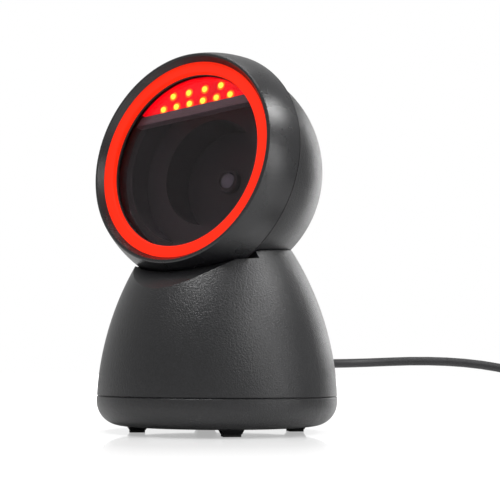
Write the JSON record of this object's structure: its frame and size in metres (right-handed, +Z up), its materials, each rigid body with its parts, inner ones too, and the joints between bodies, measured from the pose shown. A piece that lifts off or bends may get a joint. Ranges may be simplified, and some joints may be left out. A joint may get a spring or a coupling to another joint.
{
  "type": "presentation barcode scanner",
  "caption": "Hands-free desktop code reader: a round scan head with a circular window, tilting in the saddle of a weighted conical base, with a coiled lead.",
  "frame": {"origin": "centre of the base on the surface it stands on", "axes": "+Z up; the scan window faces -Y; the head tilts about a line along X"},
  "size_m": [0.2072, 0.1819, 0.1503],
  "materials": {
    "body_plastic": "fine grained satin",
    "front_plastic": "fine grained satin",
    "pad_rubber": "matte",
    "screw_steel": "plated",
    "ballast_steel": "zinc plated",
    "pillar_brass": "turned",
    "circuit_board": "solder mask",
    "socket_plastic": "moulded",
    "liner_plastic": "low-friction moulding",
    "post_steel": "plated",
    "spring_steel": "hardened",
    "window_glass": "clear polished",
    "ring_red": "translucent gloss",
    "chamber_black": "matte",
    "led_board_red": "lit red",
    "shelf_plastic": "matte",
    "led_lens": "clear lens",
    "lens_glass": "coated",
    "sensor_chip": "glass-topped chip",
    "relief_rubber": "matte",
    "cable_jacket": "satin jacket",
    "tie_plastic": "nylon",
    "plug_plastic": "overmoulded",
    "plug_metal": "plated"
  },
  "bodies": {
    "base": {"base_shell": "body_plastic", "bottom_cover": "body_plastic", "foot_pads": "pad_rubber", "base_screws": "screw_steel", "ballast_plate": "ballast_steel", "board_pillars": "pillar_brass", "interface_board": "circuit_board", "board_screws": "screw_steel", "harness_socket": "socket_plastic", "cable_jack": "socket_plastic", "friction_liner": "liner_plastic", "clamp_shoe": "liner_plastic", "clamp_post": "post_steel", "clamp_washer": "post_steel", "disc_springs": "spring_steel", "clamp_nut": "post_steel", "neck_harness": "cable_jacket", "strain_relief": "relief_rubber", "usb_cable": "cable_jacket", "usb_cable_coil": "cable_jacket", "cable_tie": "tie_plastic", "usb_cable_tail": "cable_jacket", "usb_plug_body": "plug_plastic", "usb_plug_shell": "plug_metal"},
    "head": {"head_rear_shell": "body_plastic", "head_front_shell": "front_plastic", "scan_window": "window_glass", "window_gasket": "pad_rubber", "light_ring": "ring_red", "optics_chamber": "chamber_black", "chassis_screws": "screw_steel", "led_board": "led_board_red", "light_shelf": "shelf_plastic", "led_row_lower": "led_lens", "led_row_upper": "led_lens", "camera_housing": "chamber_black", "lens_barrel": "chamber_black", "lens_glass": "lens_glass", "image_sensor": "sensor_chip", "sensor_board": "circuit_board", "chassis_pillars": "pillar_brass", "decoder_board": "circuit_board", "decoder_screws": "screw_steel", "buzzer": "socket_plastic", "head_connector": "socket_plastic", "head_harness": "cable_jacket"}
  },
  "joints": [
    {"name": "head_tilt", "type": "hinge", "parent": "base", "child": "head", "pos_m": [0, -0.0055, 0.1028], "axis": [-1, 0, 0], "range_deg": [-5, 25]}
  ]
}
